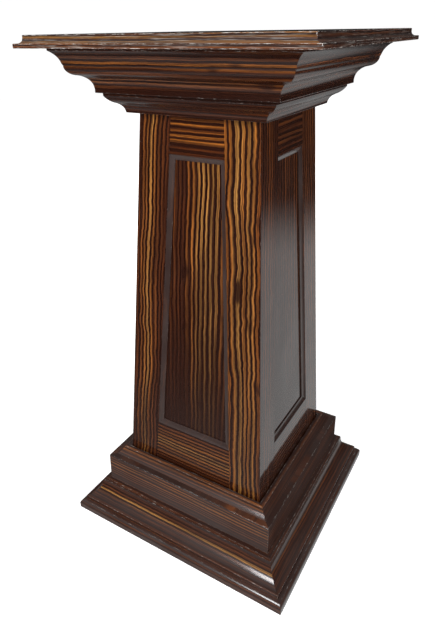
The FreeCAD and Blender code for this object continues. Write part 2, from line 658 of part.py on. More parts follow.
def make_screws():
    """Countersunk wood screws: four up through the base plate and four down through the other."""
    body = new_body("screws")
    body.Placement = FreeCAD.Placement(FreeCAD.Vector(), FreeCAD.Rotation(FreeCAD.Vector(0, 0, 1), 45))
    originals = []
    for end, centre, head, way in (("low", SCREW_LOW, f"{BLOCK_TOP} - plate_thickness", 1),
                                   ("high", SCREW_HIGH, f"{CROWN_BOTTOM} + plate_thickness", -1)):
        axis_at = f"({centre} * sqrt(2))"
        face = f"({head} + {way} * screw_clearance)"
        neck = f"({face} + {way} * (screw_head - screw_diameter) / 2)"
        tip = f"({face} + {way} * screw_length)"
        shoulder = f"({tip} - {way} * screw_diameter)"
        outline = [(axis_at, face), (f"{axis_at} + screw_head / 2", face),
                   (f"{axis_at} + screw_diameter / 2", neck),
                   (f"{axis_at} + screw_diameter / 2", shoulder), (axis_at, tip)]
        sketch = new_sketch(body, f"{end}_profile", "XZ_Plane", outline)
        axis = sketch.addGeometry(Part.LineSegment(FreeCAD.Vector(number(axis_at), number(face), 0),
                                                   FreeCAD.Vector(number(axis_at), number(tip), 0)), True)
        sketch.addConstraint(Sketcher.Constraint("Coincident", axis, 1, 0, 1))
        sketch.addConstraint(Sketcher.Constraint("Coincident", axis, 2, 4, 1))
        turned = body.newObject("PartDesign::Revolution", f"screws_{end}_turned")
        turned.Profile = sketch
        turned.ReferenceAxis = (sketch, ["Axis0"])
        turned.Angle = 360
        originals.append(turned)
    polar_copies(body, originals)


def check_and_write():
    """Refuse a failed object or a bad shape, then write one STEP file for each sub-part."""
    document.recompute()
    for item in document.Objects:
        if {"Invalid", "Error"} & set(item.State):
            raise RuntimeError(f"{item.Label} is {item.State}")
    for body in parts:
        shape = body.Shape
        if shape.isNull() or not shape.isValid() or not shape.Solids:
            raise RuntimeError(f"{body.Label} has no valid solid")
    os.makedirs("parts", exist_ok=True)
    for body in parts:
        body.Shape.exportStep(f"parts/{body.Label}.step")
        print(body.Label, len(body.Shape.Solids), round(body.Shape.Volume))


make_foot_frame()
make_block()
make_skirt()
make_cap()
make_base_plate()
make_base_blocks()
make_shaft()
make_corner_posts()
make_middle_brace()
make_bed_moulding()
make_capital_plate()
make_cornice()
make_cornice_blocks()
make_top_board()
make_top_edges()
make_screws()
check_and_write()
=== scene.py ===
import json
import math
import random

import bmesh
import bpy
from mathutils import Matrix, Vector


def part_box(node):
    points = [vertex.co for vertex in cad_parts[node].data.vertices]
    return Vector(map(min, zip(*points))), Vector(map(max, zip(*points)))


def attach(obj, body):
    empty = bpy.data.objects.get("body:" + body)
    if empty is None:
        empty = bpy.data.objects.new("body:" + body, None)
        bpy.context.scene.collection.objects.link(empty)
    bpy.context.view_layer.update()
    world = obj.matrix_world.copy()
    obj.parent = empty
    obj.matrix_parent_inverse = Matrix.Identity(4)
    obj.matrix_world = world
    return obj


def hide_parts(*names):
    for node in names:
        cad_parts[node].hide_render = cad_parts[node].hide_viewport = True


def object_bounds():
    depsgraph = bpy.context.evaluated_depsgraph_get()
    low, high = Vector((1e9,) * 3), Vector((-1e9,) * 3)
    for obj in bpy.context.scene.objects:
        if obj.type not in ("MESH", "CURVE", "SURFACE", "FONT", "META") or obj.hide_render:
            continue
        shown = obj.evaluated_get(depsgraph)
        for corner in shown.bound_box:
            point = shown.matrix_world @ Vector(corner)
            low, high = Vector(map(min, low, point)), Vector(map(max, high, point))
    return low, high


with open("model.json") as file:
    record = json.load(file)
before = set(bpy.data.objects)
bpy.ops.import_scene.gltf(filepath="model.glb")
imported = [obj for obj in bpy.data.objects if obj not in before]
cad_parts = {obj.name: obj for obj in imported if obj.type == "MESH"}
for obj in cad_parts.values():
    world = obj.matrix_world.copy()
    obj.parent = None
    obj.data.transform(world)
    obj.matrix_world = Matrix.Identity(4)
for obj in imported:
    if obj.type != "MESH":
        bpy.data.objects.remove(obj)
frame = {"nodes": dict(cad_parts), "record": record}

CAD_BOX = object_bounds()
HEIGHT = CAD_BOX[1].z
SIDES = {"right": 0, "back": 90, "left": 180, "front": 270}   # turn about Z from the +X side
SLOT_OF = {row["node"]: row["material_slot"] for row in frame["record"]["subparts"]}
X_AXIS = Vector((1, 0, 0))
Y_AXIS = Vector((0, 1, 0))
UP = Vector((0, 0, 1))

WELD = 2e-5                       # vertices closer than this are one
FLAT = math.radians(0.3)          # faces this close to one plane are joined
SHARP = math.radians(20)          # an edge folded more than this is an arris
SHADE_SHARP = math.radians(38)    # an edge folded more than this is shaded sharp
DIAGONAL = 0.01                   # a diagonal normal's two parts differ by less than this
CUT_REACH = 1e-7                  # vertices this close to a cut lie on it
JOINT_GAP = 0.00005               # half the hairline left at a mitre
# the arrises' finish carries wear and painted glints
WEAR_AND_GLINT_SLOT = 1                          # material slot of the eased arrises; slot 0 is the grain
FACE_WEIGHT = 80                  # how far the larger faces rule the shading
CORNER_SEGMENTS = 3               # facets round a corner of the shaft


# ---- Shapes -----------------------------------------------------------------------------------

def side_frame(side):
    """Outward direction of a side and the direction along it, to the right as seen from outside."""
    turn = Matrix.Rotation(math.radians(SIDES[side]), 3, "Z")
    return turn @ X_AXIS, turn @ Y_AXIS


def on_corner(part):
    """True for an edge or face that lies in one of the two upright diagonal planes."""
    return all(abs(abs(v.co.x) - abs(v.co.y)) < WELD for v in part.verts)


def in_mitre(face):
    """True for a face of a mitre joint."""
    normal = face.normal
    return on_corner(face) and abs(abs(normal.x) - abs(normal.y)) < DIAGONAL and abs(normal.x) > 0.5


def gather(nodes):
    """One mesh of the named nodes, welded and with flat areas joined; faces inside joints go."""
    bm = bmesh.new()
    for node in nodes:
        bm.from_mesh(frame["nodes"][node].data)
    bmesh.ops.remove_doubles(bm, verts=bm.verts, dist=WELD)
    if len(nodes) > 1:
        inside = [face for face in bm.faces if in_mitre(face)]
        bmesh.ops.delete(bm, geom=inside, context="FACES")
    bmesh.ops.dissolve_limit(bm, angle_limit=FLAT, verts=bm.verts, edges=bm.edges)
    bmesh.ops.recalc_face_normals(bm, faces=bm.faces)
    return bm


def arrises(bm, wanted=lambda edge: True):
    """Convex sharp edges of a mesh that pass a test."""
    return [edge for edge in bm.edges
            if len(edge.link_faces) == 2 and edge.is_convex
            and edge.calc_face_angle(0) > SHARP and wanted(edge)]


def ease(bm, edges, width, segments=2):
    """Round edges off by a width, and give the rounds the arris material of wear and painted glint."""
    if edges:
        bmesh.ops.bevel(bm, geom=edges, offset=width, offset_type="OFFSET", segments=segments,
                        profile=0.5, affect="EDGES", clamp_overlap=True, material=WEAR_AND_GLINT_SLOT)


def keep_side(bm, side):
    """Cut mitred boards down to one side's, along the mitres, and close the ends."""
    outward, along = side_frame(side)
    for sign in (1, -1):
        normal = (outward - sign * along).normalized()
        geometry = bm.verts[:] + bm.edges[:] + bm.faces[:]
        bmesh.ops.bisect_plane(bm, geom=geometry, dist=CUT_REACH, plane_co=normal * JOINT_GAP,
                               plane_no=normal, clear_inner=True)
        bmesh.ops.holes_fill(bm, edges=[e for e in bm.edges if e.is_boundary], sides=0)


def publish(bm, node, materials):
    """Make the object, shade it, hide its CAD node and attach it to the root body."""
    name = f"{node}_dressed"
    mesh = bpy.data.meshes.new(name)
    bm.normal_update()
    bm.to_mesh(mesh)
    bm.free()
    for material in materials:
        mesh.materials.append(material)
    mesh.polygons.foreach_set("use_smooth", [True] * len(mesh.polygons))
    mesh.set_sharp_from_angle(angle=SHADE_SHARP)
    piece = bpy.data.objects.new(name, mesh)
    bpy.context.scene.collection.objects.link(piece)
    weighted = piece.modifiers.new("weighted_normals", "WEIGHTED_NORMAL")
    weighted.keep_sharp = True
    weighted.weight = FACE_WEIGHT
    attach(piece, "root")
    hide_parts(node)


def single(node, easing, materials):
    """One board dressed by itself."""
    board = gather([node])
    ease(board, arrises(board), easing)
    publish(board, node, materials)


def mitred(side_of, easing, corner_easing, materials, corner_segments=2):
    """Boards that meet at mitres: eased as one body, so the corners round over, then cut apart.
    side_of gives each node's side, and materials its two finishes."""
    whole = gather(side_of)
    ease(whole, arrises(whole, on_corner), corner_easing, corner_segments)
    ease(whole, arrises(whole, lambda edge: not on_corner(edge)), easing)
    for node, side in side_of.items():
        piece = whole.copy()
        keep_side(piece, side)
        publish(piece, node, materials[node])
    whole.free()


# ---- Nodes of a material ----------------------------------------------------------------------

class Graph:
    """Short ways to add and join the nodes of a tree."""

    def __init__(self, tree):
        self.tree = tree
        self.coordinates = self.node("ShaderNodeTexCoord")

    def node(self, kind, **settings):
        """A new node."""
        made = self.tree.nodes.new(kind)
        for name, value in settings.items():
            setattr(made, name, value)
        return made

    def feed(self, socket, value):
        """Link a socket, or set its number or colour."""
        if isinstance(value, bpy.types.NodeSocket):
            self.tree.links.new(value, socket)
        elif isinstance(value, tuple) and len(value) == 3 and socket.type == "RGBA":
            socket.default_value = (*value, 1)
        else:
            socket.default_value = value

    def math(self, operation, first, second=0.0):
        """Result of a sum, product or other operation."""
        made = self.node("ShaderNodeMath", operation=operation)
        self.feed(made.inputs[0], first)
        self.feed(made.inputs[1], second)
        return made.outputs[0]

    def product(self, first, *others):
        """All the values multiplied together."""
        for value in others:
            first = self.math("MULTIPLY", first, value)
        return first

    def remap(self, value, low, high, to_low=0.0, to_high=1.0):
        """A smooth step from one value to another, while the input goes from low to high."""
        made = self.node("ShaderNodeMapRange", interpolation_type="SMOOTHSTEP")
        for socket, number in zip(made.inputs, (value, low, high, to_low, to_high)):
            self.feed(socket, number)
        return made.outputs[0]

    def mix(self, factor, first, second):
        """Blend of two colours."""
        made = self.node("ShaderNodeMix", data_type="RGBA")
        self.feed(made.inputs[0], factor)
        self.feed(made.inputs[6], first)
        self.feed(made.inputs[7], second)
        return made.outputs[2]

    def tones(self, value, tones):
        """Colour along a scale: tones is a list of (place, colour)."""
        ramp = self.node("ShaderNodeValToRGB")
        ramp.color_ramp.interpolation = "EASE"
        elements = ramp.color_ramp.elements
        while len(elements) > 1:
            elements.remove(elements[-1])
        elements[0].position = 0
        elements[0].color = (*tones[0][1], 1)
        for place, colour in tones:
            elements.new(place).color = (*colour, 1)
        self.feed(ramp.inputs[0], value)
        return ramp.outputs[0]

    def noise(self, x, y, z, detail=2.0, roughness=0.5):
        """Cloudy value about one half, at the point that three values give."""
        joined = self.node("ShaderNodeCombineXYZ")
        for socket, value in zip(joined.inputs, (x, y, z)):
            self.feed(socket, value)
        made = self.node("ShaderNodeTexNoise")
        made.inputs["Scale"].default_value = 1
        made.inputs["Detail"].default_value = detail
        made.inputs["Roughness"].default_value = roughness
        self.feed(made.inputs["Vector"], joined.outputs[0])
        return made.outputs[0]


class Finish(Graph):
    """A new material."""

    def __init__(self, name):
        self.material = bpy.data.materials.new(name)
        self.material.use_nodes = True
        super().__init__(self.material.node_tree)
        self.shader = self.tree.nodes["Principled BSDF"]

    def dot(self, direction, start=0.0):
        """Distance of the surface point along a direction, counted from start."""
        made = self.node("ShaderNodeVectorMath", operation="DOT_PRODUCT")
        self.feed(made.inputs[0], self.coordinates.outputs["Object"])
        made.inputs[1].default_value = tuple(direction)
        return self.math("ADD", made.outputs["Value"], start)

    def cloud(self, rates, detail=3.0):
        """Noise with its own rate, per metre, along each axis."""
        place = [self.product(self.dot(axis), rate) for axis, rate in zip((X_AXIS, Y_AXIS, UP), rates)]
        return self.noise(*place, detail)

    def bump(self, height, strength, distance):
        """Surface relief from a height."""
        made = self.node("ShaderNodeBump")
        made.inputs["Strength"].default_value = strength
        made.inputs["Distance"].default_value = distance
        self.feed(made.inputs["Height"], height)
        return made.outputs[0]

    def shade(self, settings):
        """Set or link sockets of the shader."""
        for name, value in settings.items():
            self.feed(self.shader.inputs[name], value)


# ---- Striped ebony ----------------------------------------------------------------------------

# Colours of the timber from darkest stripe to brightest, then of a painted sheen, and of dust that also
# paints arris glints.
DARK = (0.017, 0.0029, 0.0004)
UMBER = (0.070, 0.0155, 0.0026)
RUSSET = (0.165, 0.043, 0.0070)
ORANGE = (0.38, 0.118, 0.015)
OCHRE = (0.48, 0.215, 0.048)
# a greyish painted sheen, mixed in for the lacquer's reflection of the sky
PAINTED_SHEEN_COLOUR = (0.072, 0.056, 0.052)
# pale dust; on eased arrises the same colour paints glints along the edges
DUST_AND_GLINT = (0.50, 0.47, 0.43)
PORE = tuple(part * 0.4 for part in DARK)

# Noise in the timber: rates per metre across the stripes, along the grain and into the board,
# then the detail and, where it isn't the usual, the roughness.
SWAY = (5, 5, 4, 1)
RIPPLE = (14, 18, 10, 1)
SHIVER = (45, 80, 5, 1)
STREAKS = (480, 5, 2, 3, 0.6)
PATCHES = (70, 5, 20, 2)
PORES = (1500, 60, 2, 1)
BLOTCHES = (20, 9, 9, 2)
# haze of the lacquer, which also places the painted sheen
HAZE_AND_SHEEN = (9, 9, 9, 3)
SWELL = (28, 14, 28, 2)

BENDS = ((SWAY, 0.016), (RIPPLE, 0.009), (SHIVER, 0.0034))   # each with its range in metres
DRIFT = 9                          # range that the beat of the stripes wanders over, in radians
DRIFT_ACROSS = 0.32                # rate of that wandering in each pitch across the stripes
DRIFT_ELSE = (1.5, 3, 1)           # its rates along the grain and inward, and its detail
THIN_BEAT = 2.7                    # thin lines to each stripe
KNOT_SIZE = (0.006, 0.024)         # half width and half length of a knot
PAINTED_FOOT_SHADE_HEIGHTS = (0.20, 0.80)         # painted shade toward the foot is full below the first height and gone above the second
INWARD_SEED = 0.37                 # share of a board's seed that moves its noise inward
FACE_SPECK, ARRIS_SPECK = 14, 90   # rate of specks along the grain: wear, and on arrises painted glints too
SPECK_RATE = 900                   # and across it
FACE_COAT, ARRIS_COAT = 0.045, 0.10            # roughness of the lacquer
LACQUER_IOR = 1.52
TIMBER_GLOSS = 0.08                # gloss of the timber under the lacquer
PORE_DEPTH = -0.03                 # share of the swell's height
RELIEF = (0.12, 0.002)             # strength and distance of the bump


class Timber(Finish):
    """A board's material with its own directions: u across the stripes from the board's edge, v
    along the grain and w into the board."""

    def __init__(self, name, across, start, along, seed):
        super().__init__(name)
        across, along = Vector(across), Vector(along)
        self.u = self.dot(across, start)
        self.v = self.dot(along, seed)
        self.w = self.dot(across.cross(along), seed * INWARD_SEED)

    def figure(self, u_rate, v_rate, w_rate, detail, roughness=0.5, of=None):
        """Noise along the board's own directions; of stands in for u."""
        u = self.u if of is None else of
        place = (self.product(u, u_rate), self.product(self.v, v_rate), self.product(self.w, w_rate))
        return self.noise(*place, detail, roughness)

    def centred(self, value, amount):
        """Noise as a sway about zero."""
        return self.product(self.math("SUBTRACT", value, 0.5), amount)

    def bend(self, wave):
        """The place across the board, with the stripes' bends in it."""
        bent = self.u
        for rates, reach in BENDS:
            bent = self.math("ADD", bent, self.centred(self.figure(*rates), reach * wave))
        return bent

    def stripes(self, bent, width, tones, pitch, gap):
        """Tones over the board's width, cut into stripes with thin dark lines inside them."""
        tone = self.tones(self.math("DIVIDE", bent, width), tones)
        wander = self.centred(self.figure(DRIFT_ACROSS / pitch, *DRIFT_ELSE, of=bent), DRIFT)
        phase = self.math("ADD", self.product(bent, 2 * math.pi / pitch), wander)
        stripe = self.remap(self.math("SINE", phase), gap - 0.5, gap + 0.6)
        thin = self.remap(self.math("SINE", self.product(phase, THIN_BEAT)), -0.9, 0.5, 0.45, 1.0)
        return self.mix(self.product(stripe, thin), DARK, tone)

    def break_up(self, colour, bent, pores, fade):
        """Dark patches, dark and bright streaks, open pores and a few dark blotches."""
        streaks = self.figure(*STREAKS, of=bent)
        patches = self.figure(*PATCHES, of=bent)
        blotches = self.figure(*BLOTCHES)
        colour = self.mix(self.remap(patches, 0.60, 0.38, 0, fade), colour, DARK)
        colour = self.mix(self.remap(streaks, 0.58, 0.40, 0, 0.6), colour, DARK)
        colour = self.mix(self.remap(streaks, 0.52, 0.72, 0, 0.22), colour, RUSSET)
        colour = self.mix(self.remap(pores, 0.60, 0.70, 0, 0.55), colour, PORE)
        return self.mix(self.remap(blotches, 0.66, 0.74, 0, 0.85), colour, DARK)

    def add_knot(self, colour, bent, knot):
        """One dark oval, at a place across the board and a height above the floor."""
        aside = self.math("DIVIDE", self.math("SUBTRACT", bent, knot[0]), KNOT_SIZE[0])
        above = self.math("DIVIDE", self.math("SUBTRACT", self.dot(UP), knot[1]), KNOT_SIZE[1])
        reach = self.math("ADD", self.product(aside, aside), self.product(above, above))
        return self.mix(self.remap(reach, 1.6, 0.5, 0, 0.9), colour, DARK)

    def add_wear_and_glint(self, colour, wear_and_glint, speck):
        """Pale specks of rubbed, dusty lacquer, which on the eased arrises also paint glints; more wear
        lets more of the noise through.
        """
        specks = self.figure(SPECK_RATE, speck, SPECK_RATE, 3, 0.7)
        share = self.remap(specks, 0.60 - 0.12 * wear_and_glint, 0.72 - 0.1 * wear_and_glint, 0, wear_and_glint)
        return self.mix(share, colour, DUST_AND_GLINT)

    def lacquer(self, haze_and_sheen, pores, coat):
        """A clear gloss coat over the timber, with a faint swell and sunken pores."""
        height = self.math("ADD", self.figure(*SWELL), self.product(pores, PORE_DEPTH))
        relief = self.bump(height, *RELIEF)
        self.shade({"Roughness": self.remap(haze_and_sheen, 0.3, 0.75, 0.35, 0.5),
                    "Specular IOR Level": TIMBER_GLOSS,
                    "Coat Weight": 1.0,
                    "Coat Roughness": coat,
                    "Coat IOR": LACQUER_IOR,
                    "Normal": relief,
                    "Coat Normal": relief})


def ebony(name, across, start, width, along, tones, pitch, wave=1.0, gap=0.1, fade=0.4, painted_sheen=0.0,
          painted_foot_shade=0.0, knot=None, seed=0.0, wear_and_glint=0.0, speck=ARRIS_SPECK, coat=FACE_COAT):
    """Lacquered striped ebony.  across is the direction the stripes repeat in, start the distance
    at the board's edge, along the grain.  tones run over the board's width and are cut into
    stripes of the given pitch; a larger gap widens the dark between them.  wave bends the stripes,
    fade breaks them up along the grain, grey mixes in a painted sheen of reflection, dusk paints
    shade that darkens them toward the foot, and worn adds rubbed, dusty lacquer and, on arrises,
    painted glints; a low speck rate draws its specks out along the grain.  knot is the place of
    one dark knot, across the board and above the floor."""
    board = Timber(name, across, start, along, seed)
    bent = board.bend(wave)
    pores = board.figure(*PORES, of=bent)
    haze_and_sheen = board.figure(*HAZE_AND_SHEEN)
    colour = board.stripes(bent, width, tones, pitch, gap)
    colour = board.break_up(colour, bent, pores, fade)
    if knot:
        colour = board.add_knot(colour, bent, knot)
    # painted shade: darker toward the foot, for the lamp's light falling off lower down
    if painted_foot_shade:
        colour = board.mix(board.remap(board.dot(UP), *PAINTED_FOOT_SHADE_HEIGHTS, painted_foot_shade, 0), colour, DARK)
    # painted sheen: greyish colour mixed in where the lacquer would mirror the sky
    if painted_sheen:
        colour = board.mix(board.remap(haze_and_sheen, 0.3, 0.7, painted_sheen * 0.5, painted_sheen), colour, PAINTED_SHEEN_COLOUR)
    # rubbed dust, and on eased arrises painted glints as well
    if wear_and_glint:
        colour = board.add_wear_and_glint(colour, wear_and_glint, speck)
    board.shade({"Base Color": colour})
    board.lacquer(haze_and_sheen, pores, coat)
    return board.material


def dressed_pair(name, wear_and_glint, worn_face=0.0, coat=FACE_COAT, **figure):
    """The board's finish and the finish of its eased arrises, slightly rubbed and with painted glints."""
    return (ebony(name, **figure, wear_and_glint=worn_face, speck=FACE_SPECK, coat=coat),
            ebony(f"{name}_arris", **figure, wear_and_glint=wear_and_glint, coat=max(coat, ARRIS_COAT)))


# ---- Where the grain runs ---------------------------------------------------------------------

SHAFT_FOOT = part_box("stile_front_face_left")[0]
SHAFT_HALF = -SHAFT_FOOT.y                     # half width where the shaft stands
RAIL_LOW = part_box("top_rail_front")[0]
SLOPE = (SHAFT_HALF + RAIL_LOW.y) / (RAIL_LOW.z - SHAFT_FOOT.z)   # the shaft's taper
STILE_WIDTH = 0.071


def stile_figure(side, right_hand, **figure):
    """Grain of a stile: across from its corner inward, running up the slope."""
    outward, along = side_frame(side)
    hand = along if right_hand else -along
    return dict(across=-hand - UP * SLOPE, start=SHAFT_HALF + SLOPE * SHAFT_FOOT.z, width=STILE_WIDTH,
                along=UP, **figure)


def level_figure(side, node, lean=0.0, **figure):
    """Grain of a level board: along the side, and across from its foot upward.  A lean tips that
    direction outward, or inward below zero, to follow the slope of a moulding."""
    outward, along = side_frame(side)
    low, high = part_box(node)
    across = (UP + outward * lean).normalized()
    reach = sorted(outward.dot(corner) for corner in (low, high))
    rise = across.z * (high.z - low.z)
    spread = across.dot(outward) * (reach[1] - reach[0])
    foot = across.z * low.z + across.dot(outward) * (reach[0] if lean >= 0 else reach[1])
    return dict(across=across, start=-foot, width=rise + abs(spread), along=along, **figure)


# ---- The boards -------------------------------------------------------------------------------

# In these timbers dusk is painted shade toward the foot, grey a painted sheen, and worn rubbed wear with
# painted glints on arrises.
LEFT_STILE = dict(pitch=0.0098, painted_foot_shade=0.4, wear_and_glint=0.2,
                  tones=[(0.0, UMBER), (0.12, RUSSET), (0.28, ORANGE), (0.5, OCHRE), (0.60, ORANGE),
                         (0.8, RUSSET), (0.95, UMBER)])
RIGHT_STILE = dict(pitch=0.0114, gap=0.0, painted_foot_shade=0.4, wear_and_glint=0.2, knot=(0.046, 0.61),
                   tones=[(0.0, RUSSET), (0.12, ORANGE), (0.3, OCHRE), (0.42, ORANGE), (0.6, OCHRE),
                          (0.75, OCHRE), (0.88, ORANGE), (1.0, ORANGE)])
PANEL = dict(pitch=0.0108, gap=0.25, painted_foot_shade=0.95, wave=0.6, fade=0.5, wear_and_glint=0.1,
             tones=[(0.08, UMBER), (0.24, RUSSET), (0.34, UMBER), (0.42, ORANGE), (0.55, OCHRE),
                    (0.70, OCHRE), (0.80, ORANGE), (0.95, RUSSET)])
PANEL_MOULDING = dict(start=0, width=0.05, pitch=0.006, wave=0.4, painted_sheen=0.45, wear_and_glint=0.6,
                      tones=[(0.0, UMBER), (1.0, DARK)])
TOP_RAIL = dict(pitch=0.0105, wave=0.35, wear_and_glint=0.15,
                tones=[(0.0, UMBER), (0.14, UMBER), (0.24, ORANGE), (0.34, ORANGE), (0.44, RUSSET),
                       (0.52, ORANGE), (0.64, UMBER), (0.9, UMBER)])
BOTTOM_RAIL = dict(pitch=0.0085, painted_foot_shade=0.4, wave=0.35, wear_and_glint=0.15,
                   tones=[(0.0, UMBER), (0.2, RUSSET), (0.45, ORANGE), (0.6, OCHRE), (0.75, ORANGE),
                          (0.95, RUSSET)])
CORNICE = dict(pitch=0.0088, gap=0.0, wave=0.3, wear_and_glint=0.4,
               tones=[(0.0, DARK), (0.12, DARK), (0.22, RUSSET), (0.30, ORANGE), (0.36, DARK),
                      (0.50, RUSSET), (0.57, UMBER), (0.64, ORANGE), (0.73, ORANGE), (0.79, RUSSET),
                      (0.88, DARK), (1.0, UMBER)])
BED = dict(pitch=0.0080, wave=0.2, wear_and_glint=0.3,
           tones=[(0.0, DARK), (0.4, UMBER), (0.7, DARK), (1.0, DARK)])
TOP_EDGE = dict(pitch=0.0072, gap=-0.3, wave=0.3, painted_sheen=0.2, worn_face=0.45, wear_and_glint=0.9,
                tones=[(0.0, RUSSET), (0.3, ORANGE), (0.5, OCHRE), (0.62, RUSSET), (0.78, OCHRE),
                       (0.9, OCHRE), (1.0, RUSSET)])
BLOCK = dict(pitch=0.0074, gap=0.2, wave=0.3, painted_sheen=0.3, fade=0.75, wear_and_glint=0.5,
             tones=[(0.0, UMBER), (0.35, RUSSET), (0.5, UMBER), (0.68, RUSSET), (0.84, ORANGE),
                    (1.0, RUSSET)])
BASE = dict(pitch=0.0085, gap=-0.1, wave=0.25, painted_sheen=0.2, wear_and_glint=0.5, coat=0.12,
            tones=[(0.0, RUSSET), (0.25, UMBER), (0.4, RUSSET), (0.47, OCHRE), (0.55, OCHRE),
                   (0.62, RUSSET), (0.8, UMBER), (1.0, RUSSET)])
FOOT = dict(pitch=0.0075, wave=0.25, painted_sheen=0.4, wear_and_glint=0.5, coat=0.12,
            tones=[(0.0, UMBER), (0.3, RUSSET), (0.5, UMBER), (0.75, RUSSET), (1.0, UMBER)])
CAP = dict(pitch=0.0070, gap=-0.1, wave=0.2, painted_sheen=0.3, wear_and_glint=0.5, coat=0.12,
           tones=[(0.0, UMBER), (0.4, RUSSET), (0.7, ORANGE), (1.0, RUSSET)])
TOP = dict(pitch=0.013, wave=1.4, wear_and_glint=0.2, seed=3.3)
TOP_TONES = 16                                 # drawn by chance over the top board's width
TOP_CHOICES = (UMBER, RUSSET, ORANGE, RUSSET)
TOP_DRAW = 5                                   # seed of that draw
# each tone a step darker: painted shade on every side but the front
SHADED_SIDE_TONES = {OCHRE: RUSSET, ORANGE: RUSSET, RUSSET: UMBER, UMBER: UMBER, DARK: DARK}

# The direction of the panel moulding's stripes: its parts outward and along a side.
MOULDING_ACROSS = (0.8, 0.6)

# Each ring: its family, the easing of its arrises and of its corners, the lean of its slope and
# its timber.
RINGS = [
    ("foot", .0008, .0012, -0.4, FOOT),
    ("block", .0004, .0010, 0.0, BLOCK),
    ("base_moulding", .0006, .0010, -0.7, BASE),
    ("cap_moulding", .0006, .0010, -0.6, CAP),
    ("bed_moulding", .0005, .0008, 0.2, BED),
    ("cornice", .0006, .0012, 0.0, CORNICE),
    ("top_edge", .0006, .0012, 0.0, TOP_EDGE),
]
BOARD_EASING = .0003                           # arrises of the shaft's boards and the top board
SHAFT_CORNER_EASING = .0012
SEED_STEP = 1.7                                # from side to side
LEFT_SEED, RAIL_SEED, PANEL_SEED = 0.8, 0.4, 0.2   # on top of the side's own


def side_seed(side):
    """A different stretch of timber for every side."""
    return SEED_STEP * list(SIDES).index(side)


def with_painted_side_shade(figure, side):
    """The front keeps its tones and knot; the other sides take each tone a step darker, as painted shade.
    """
    if side == "front":
        return figure
    return {**figure, "knot": None, "tones": [(place, SHADED_SIDE_TONES[colour]) for place, colour in figure["tones"]]}


def chance_tones(dice, count, choices):
    """Tones at uneven distances, drawn from a seeded generator."""
    return [((place + dice.uniform(0.1, 0.9)) / count, dice.choice(choices)) for place in range(count)]


def make_mouldings():
    """The rings of four mitred lengths, from the foot to the top's edging."""
    for family, easing, corner_easing, lean, timber in RINGS:
        side_of = {f"{family}_{side}": side for side in SIDES}
        materials = {}
        for node, side in side_of.items():
            board = level_figure(side, node, lean, seed=side_seed(side) + len(family),
                                 **with_painted_side_shade(timber, side))
            materials[node] = dressed_pair(node, **board)
        mitred(side_of, easing, corner_easing, materials)


def make_stiles(side, following):
    """The two stiles that meet at the corner between a side and the next, rounded together."""
    first, second = f"stile_{side}_face_right", f"stile_{following}_face_left"
    right = stile_figure(side, True, seed=side_seed(side), **with_painted_side_shade(RIGHT_STILE, side))
    left = stile_figure(following, False, seed=side_seed(following) + LEFT_SEED,
                        **with_painted_side_shade(LEFT_STILE, following))
    materials = {first: dressed_pair(first, **right), second: dressed_pair(second, **left)}
    mitred({first: side, second: following}, BOARD_EASING, SHAFT_CORNER_EASING, materials,
           CORNER_SEGMENTS)


def make_rails(side):
    """A side's top and bottom rails."""
    for rail, timber in (("top_rail", TOP_RAIL), ("bottom_rail", BOTTOM_RAIL)):
        node = f"{rail}_{side}"
        board = level_figure(side, node, seed=side_seed(side) + RAIL_SEED, **with_painted_side_shade(timber, side))
        single(node, BOARD_EASING, dressed_pair(node, **board))


def make_panel(side):
    """A side's sunk panel and the moulding round it."""
    outward, along = side_frame(side)
    seed = side_seed(side)
    node = f"panel_{side}"
    half = max(abs(along.dot(corner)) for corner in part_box(node))
    board = dict(across=along, start=half, width=2 * half, along=UP, seed=seed + PANEL_SEED,
                 **with_painted_side_shade(PANEL, side))
    single(node, BOARD_EASING, dressed_pair(node, **board))
    node = f"panel_moulding_{side}"
    across = outward * MOULDING_ACROSS[0] + along * MOULDING_ACROSS[1]
    board = dict(across=across, along=UP, seed=seed, **PANEL_MOULDING)
    single(node, BOARD_EASING, dressed_pair(node, **board))


def make_shaft():
    """The shaft's boards, side by side."""
    sides = list(SIDES)
    for side, following in zip(sides, sides[1:] + sides[:1]):
        make_stiles(side, following)
        make_rails(side)
        make_panel(side)


def make_top():
    """The flat board inside the moulded edging."""
    low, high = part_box("top_board")
    tones = chance_tones(random.Random(TOP_DRAW), TOP_TONES, TOP_CHOICES)
    board = dict(across=Y_AXIS, start=-low.y, width=high.y - low.y, along=X_AXIS, tones=tones, **TOP)
    single("top_board", BOARD_EASING, dressed_pair("top_board", **board))


# ---- Inside the carcass -----------------------------------------------------------------------

def bare_wood():
    """Planed hardwood inside the carcass."""
    g = Finish("carcass_wood")
    rings = g.cloud((70, 70, 5))
    g.shade({"Base Color": g.mix(g.remap(rings, 0.35, 0.65), (0.32, 0.19, 0.10), (0.56, 0.38, 0.22)),
             "Roughness": g.remap(rings, 0.3, 0.7, 0.55, 0.75),
             "Normal": g.bump(rings, 0.2, 0.0005)})
    return g.material


def plated_steel():
    """Zinc plate on the screws."""
    g = Finish("screw_steel")
    cloud = g.cloud((400, 400, 400))
    g.shade({"Base Color": g.mix(cloud, (0.42, 0.41, 0.36), (0.66, 0.64, 0.58)),
             "Roughness": g.remap(cloud, 0.3, 0.7, 0.25, 0.45),
             "Metallic": 1.0})
    return g.material


def finish_carcass():
    """The inner bodies keep their CAD shape and get their finish."""
    made = {"carcass_wood": bare_wood(), "screw_steel": plated_steel()}
    for node, slot in SLOT_OF.items():
        if slot in made:
            materials = frame["nodes"][node].data.materials
            materials.clear()
            materials.append(made[slot])


# ---- Stage ------------------------------------------------------------------------------------

